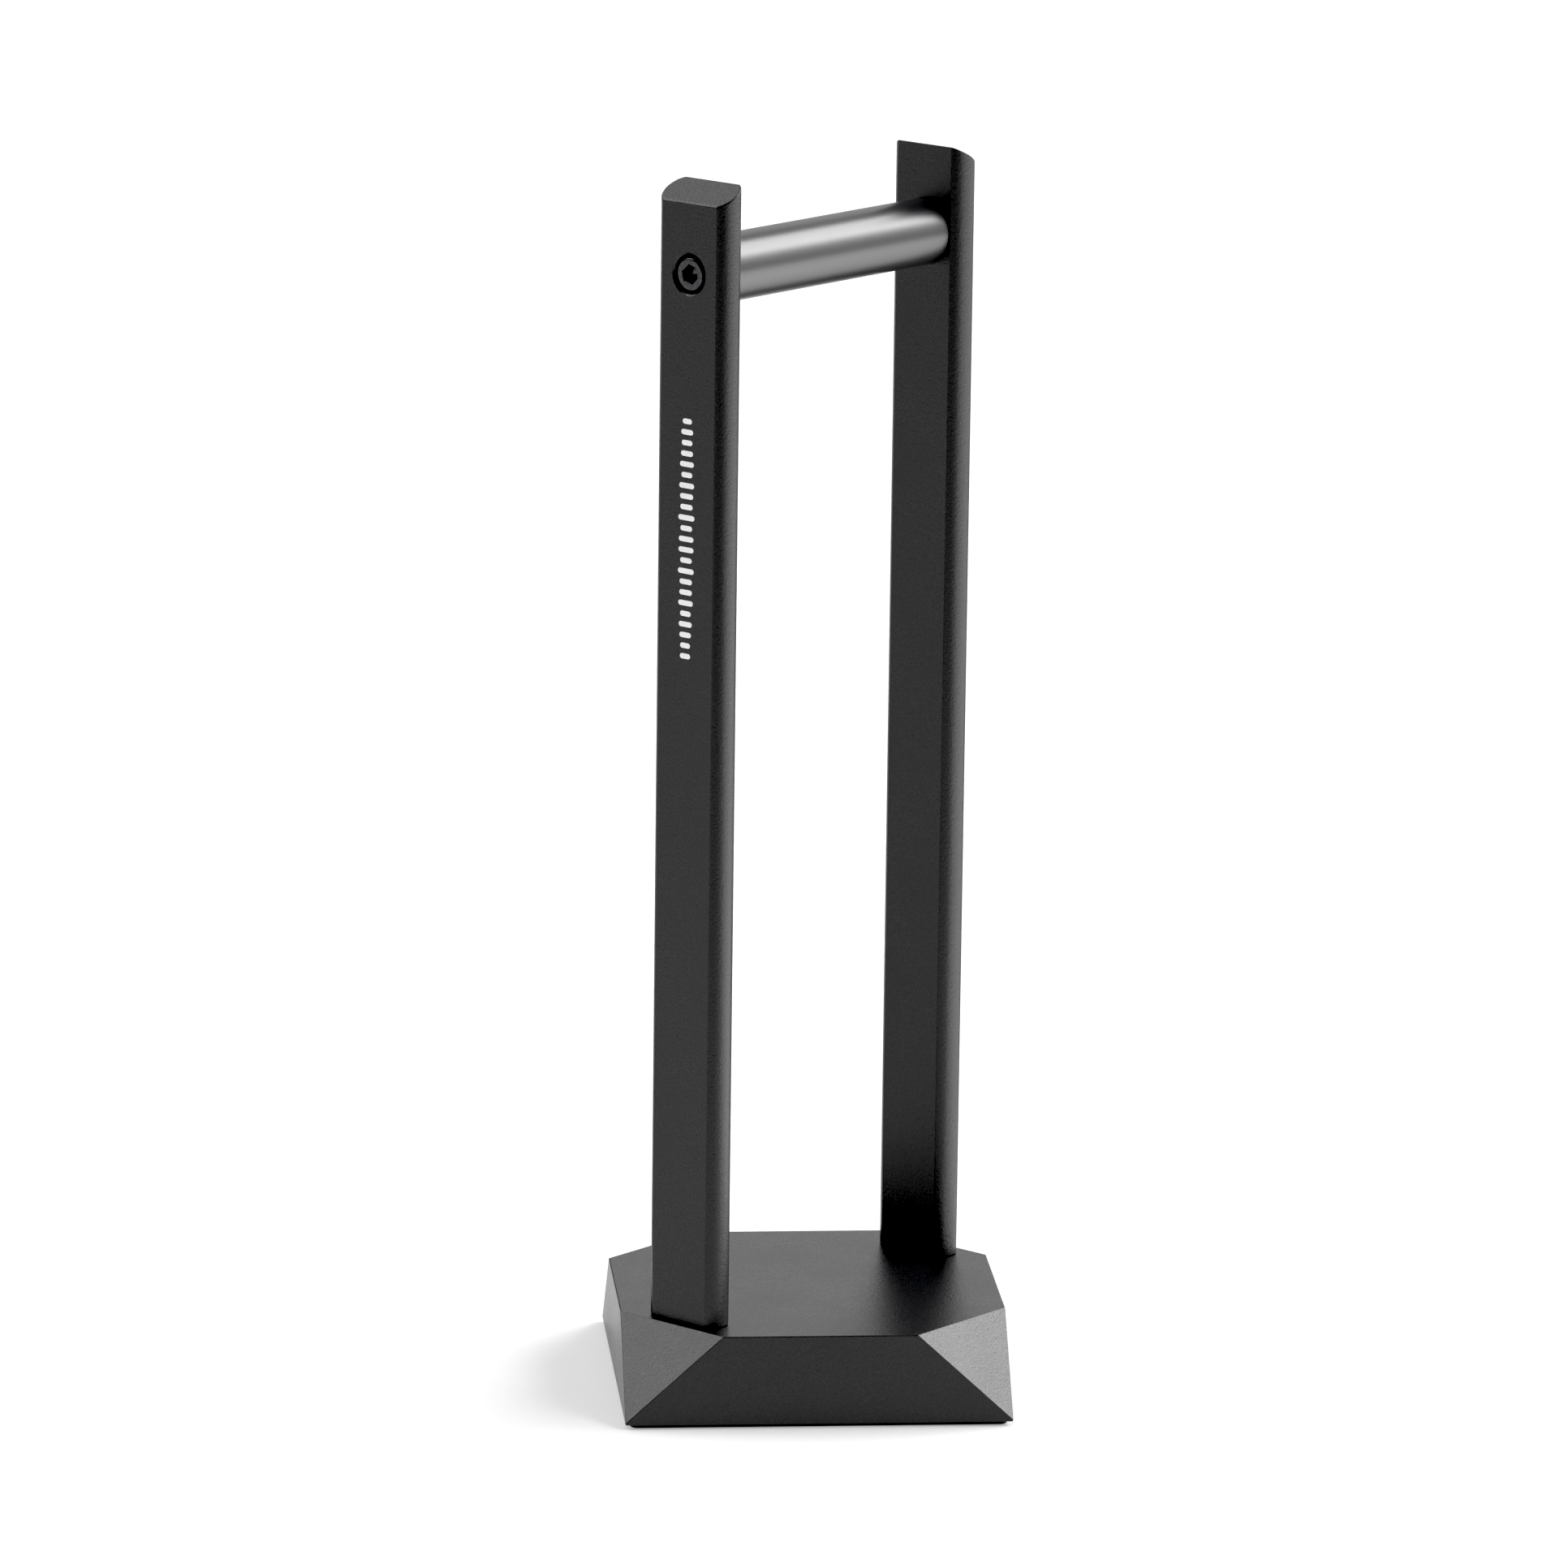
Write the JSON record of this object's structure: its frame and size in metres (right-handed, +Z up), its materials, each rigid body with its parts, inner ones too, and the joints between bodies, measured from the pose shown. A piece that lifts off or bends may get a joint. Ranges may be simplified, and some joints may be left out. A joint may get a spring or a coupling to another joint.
{
  "type": "headphone stand",
  "caption": "Desk stand that holds a pair of headphones by the headband on a round crossbar, between two flat posts on a square base block with faceted corners.",
  "frame": {"origin": "centre of the pad's underside, where the stand rests", "axes": "+Z up along the posts; +X along the crossbar, from the front post to the rear post; the square base is turned by 45 degrees, so its corners lie on X and Y"},
  "size_m": [0.1272, 0.1272, 0.2889],
  "materials": {
    "base_aluminium": "satin",
    "post_aluminium": "satin",
    "crossbar_aluminium": "satin",
    "screw_steel": "satin",
    "pad_rubber": "matte",
    "marking_ink": "satin"
  },
  "bodies": {
    "root": {"base_block": "base_aluminium", "base_pad": "pad_rubber", "crossbar": "crossbar_aluminium", "front_post": "post_aluminium", "rear_post": "post_aluminium", "front_crossbar_screw": "screw_steel", "rear_crossbar_screw": "screw_steel", "front_post_screw_left": "screw_steel", "front_post_screw_right": "screw_steel", "rear_post_screw_left": "screw_steel", "rear_post_screw_right": "screw_steel"}
  },
  "joints": []
}
